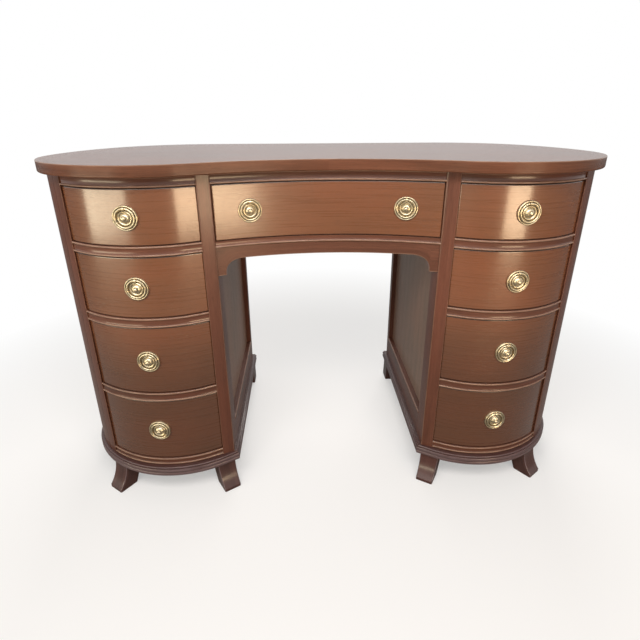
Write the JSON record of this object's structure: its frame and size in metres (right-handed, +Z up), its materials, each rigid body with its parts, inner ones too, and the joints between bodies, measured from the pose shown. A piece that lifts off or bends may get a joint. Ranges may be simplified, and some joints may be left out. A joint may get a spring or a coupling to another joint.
{
  "type": "kidney-shaped desk",
  "caption": "Kidney-shaped kneehole desk: bowed drawer pedestals beside a hollow-fronted middle drawer, beaded rails, reeded bases, splayed feet and brass ring pulls.",
  "frame": {"origin": "on the floor, under the middle of the box that the desk fills", "axes": "+Z up; +Y from the sitter's side to the back of the desk; +X along its length, to the sitter's right"},
  "size_m": [1.2, 0.58, 0.762],
  "materials": {
    "top_veneer": "polished mahogany veneer, lengthwise grain",
    "drawer_veneer": "polished mahogany veneer, level grain",
    "side_veneer": "polished mahogany veneer, upright grain",
    "post_mahogany": "satin polished mahogany, upright grain",
    "rail_mahogany": "satin polished mahogany, worn beads",
    "base_mahogany": "satin polished mahogany, darkened",
    "secondary_wood": "plain planed hardwood",
    "brass": "aged lacquered brass"
  },
  "bodies": {
    "carcass": {"desk_top": "top_veneer", "right_front_posts": "post_mahogany", "right_kneehole_frame": "post_mahogany", "right_kneehole_panel": "side_veneer", "right_curved_side": "side_veneer", "right_drawer_rails": "rail_mahogany", "right_dust_boards": "secondary_wood", "right_base_moulding": "base_mahogany", "right_feet": "base_mahogany", "left_front_posts": "post_mahogany", "left_kneehole_frame": "post_mahogany", "left_kneehole_panel": "side_veneer", "left_curved_side": "side_veneer", "left_drawer_rails": "rail_mahogany", "left_dust_boards": "secondary_wood", "left_base_moulding": "base_mahogany", "left_feet": "base_mahogany", "centre_rails": "rail_mahogany", "apron": "rail_mahogany", "centre_runners": "secondary_wood", "centre_back": "side_veneer"},
    "right_drawer_1": {"right_drawer_1_front": "drawer_veneer", "right_drawer_1_box": "secondary_wood", "right_drawer_1_pull_plate": "brass"},
    "right_drawer_1_ring": {"right_drawer_1_pull_ring": "brass"},
    "right_drawer_2": {"right_drawer_2_front": "drawer_veneer", "right_drawer_2_box": "secondary_wood", "right_drawer_2_pull_plate": "brass"},
    "right_drawer_2_ring": {"right_drawer_2_pull_ring": "brass"},
    "right_drawer_3": {"right_drawer_3_front": "drawer_veneer", "right_drawer_3_box": "secondary_wood", "right_drawer_3_pull_plate": "brass"},
    "right_drawer_3_ring": {"right_drawer_3_pull_ring": "brass"},
    "right_drawer_4": {"right_drawer_4_front": "drawer_veneer", "right_drawer_4_box": "secondary_wood", "right_drawer_4_pull_plate": "brass"},
    "right_drawer_4_ring": {"right_drawer_4_pull_ring": "brass"},
    "left_drawer_1": {"left_drawer_1_front": "drawer_veneer", "left_drawer_1_box": "secondary_wood", "left_drawer_1_pull_plate": "brass"},
    "left_drawer_1_ring": {"left_drawer_1_pull_ring": "brass"},
    "left_drawer_2": {"left_drawer_2_front": "drawer_veneer", "left_drawer_2_box": "secondary_wood", "left_drawer_2_pull_plate": "brass"},
    "left_drawer_2_ring": {"left_drawer_2_pull_ring": "brass"},
    "left_drawer_3": {"left_drawer_3_front": "drawer_veneer", "left_drawer_3_box": "secondary_wood", "left_drawer_3_pull_plate": "brass"},
    "left_drawer_3_ring": {"left_drawer_3_pull_ring": "brass"},
    "left_drawer_4": {"left_drawer_4_front": "drawer_veneer", "left_drawer_4_box": "secondary_wood", "left_drawer_4_pull_plate": "brass"},
    "left_drawer_4_ring": {"left_drawer_4_pull_ring": "brass"},
    "centre_drawer": {"centre_drawer_front": "drawer_veneer", "centre_drawer_box": "secondary_wood", "centre_drawer_pull_plate": "brass"},
    "centre_drawer_left_ring": {"centre_drawer_left_pull_ring": "brass"},
    "centre_drawer_right_ring": {"centre_drawer_right_pull_ring": "brass"}
  },
  "joints": [
    {"name": "right_drawer_1_slide", "type": "slide", "parent": "carcass", "child": "right_drawer_1", "axis": [0, -1, 0], "range_m": [0, 0.22]},
    {"name": "right_drawer_1_ring_hinge", "type": "hinge", "parent": "right_drawer_1", "child": "right_drawer_1_ring", "pos_m": [0.38327, -0.26137, 0.68201], "axis": [-0.9973, -0.0734, 0], "range_deg": [0, 90]},
    {"name": "right_drawer_2_slide", "type": "slide", "parent": "carcass", "child": "right_drawer_2", "axis": [0, -1, 0], "range_m": [0, 0.22]},
    {"name": "right_drawer_2_ring_hinge", "type": "hinge", "parent": "right_drawer_2", "child": "right_drawer_2_ring", "pos_m": [0.38327, -0.26137, 0.54153], "axis": [-0.9973, -0.0734, 0], "range_deg": [0, 90]},
    {"name": "right_drawer_3_slide", "type": "slide", "parent": "carcass", "child": "right_drawer_3", "axis": [0, -1, 0], "range_m": [0, 0.22]},
    {"name": "right_drawer_3_ring_hinge", "type": "hinge", "parent": "right_drawer_3", "child": "right_drawer_3_ring", "pos_m": [0.38327, -0.26137, 0.37754], "axis": [-0.9973, -0.0734, 0], "range_deg": [0, 90]},
    {"name": "right_drawer_4_slide", "type": "slide", "parent": "carcass", "child": "right_drawer_4", "axis": [0, -1, 0], "range_m": [0, 0.22]},
    {"name": "right_drawer_4_ring_hinge", "type": "hinge", "parent": "right_drawer_4", "child": "right_drawer_4_ring", "pos_m": [0.38327, -0.26137, 0.20053], "axis": [-0.9973, -0.0734, 0], "range_deg": [0, 90]},
    {"name": "left_drawer_1_slide", "type": "slide", "parent": "carcass", "child": "left_drawer_1", "axis": [0, -1, 0], "range_m": [0, 0.22]},
    {"name": "left_drawer_1_ring_hinge", "type": "hinge", "parent": "left_drawer_1", "child": "left_drawer_1_ring", "pos_m": [-0.38327, -0.26137, 0.68201], "axis": [-0.9973, 0.0734, 0], "range_deg": [0, 90]},
    {"name": "left_drawer_2_slide", "type": "slide", "parent": "carcass", "child": "left_drawer_2", "axis": [0, -1, 0], "range_m": [0, 0.22]},
    {"name": "left_drawer_2_ring_hinge", "type": "hinge", "parent": "left_drawer_2", "child": "left_drawer_2_ring", "pos_m": [-0.38327, -0.26137, 0.54153], "axis": [-0.9973, 0.0734, 0], "range_deg": [0, 90]},
    {"name": "left_drawer_3_slide", "type": "slide", "parent": "carcass", "child": "left_drawer_3", "axis": [0, -1, 0], "range_m": [0, 0.22]},
    {"name": "left_drawer_3_ring_hinge", "type": "hinge", "parent": "left_drawer_3", "child": "left_drawer_3_ring", "pos_m": [-0.38327, -0.26137, 0.37754], "axis": [-0.9973, 0.0734, 0], "range_deg": [0, 90]},
    {"name": "left_drawer_4_slide", "type": "slide", "parent": "carcass", "child": "left_drawer_4", "axis": [0, -1, 0], "range_m": [0, 0.22]},
    {"name": "left_drawer_4_ring_hinge", "type": "hinge", "parent": "left_drawer_4", "child": "left_drawer_4_ring", "pos_m": [-0.38327, -0.26137, 0.20053], "axis": [-0.9973, 0.0734, 0], "range_deg": [0, 90]},
    {"name": "centre_drawer_slide", "type": "slide", "parent": "carcass", "child": "centre_drawer", "axis": [0, -1, 0], "range_m": [0, 0.22]},
    {"name": "centre_drawer_left_ring_hinge", "type": "hinge", "parent": "centre_drawer", "child": "centre_drawer_left_ring", "pos_m": [-0.15708, -0.19935, 0.68125], "axis": [-0.9686, -0.2488, 0], "range_deg": [0, 90]},
    {"name": "centre_drawer_right_ring_hinge", "type": "hinge", "parent": "centre_drawer", "child": "centre_drawer_right_ring", "pos_m": [0.15708, -0.19935, 0.68125], "axis": [-0.9686, 0.2488, 0], "range_deg": [0, 90]}
  ]
}
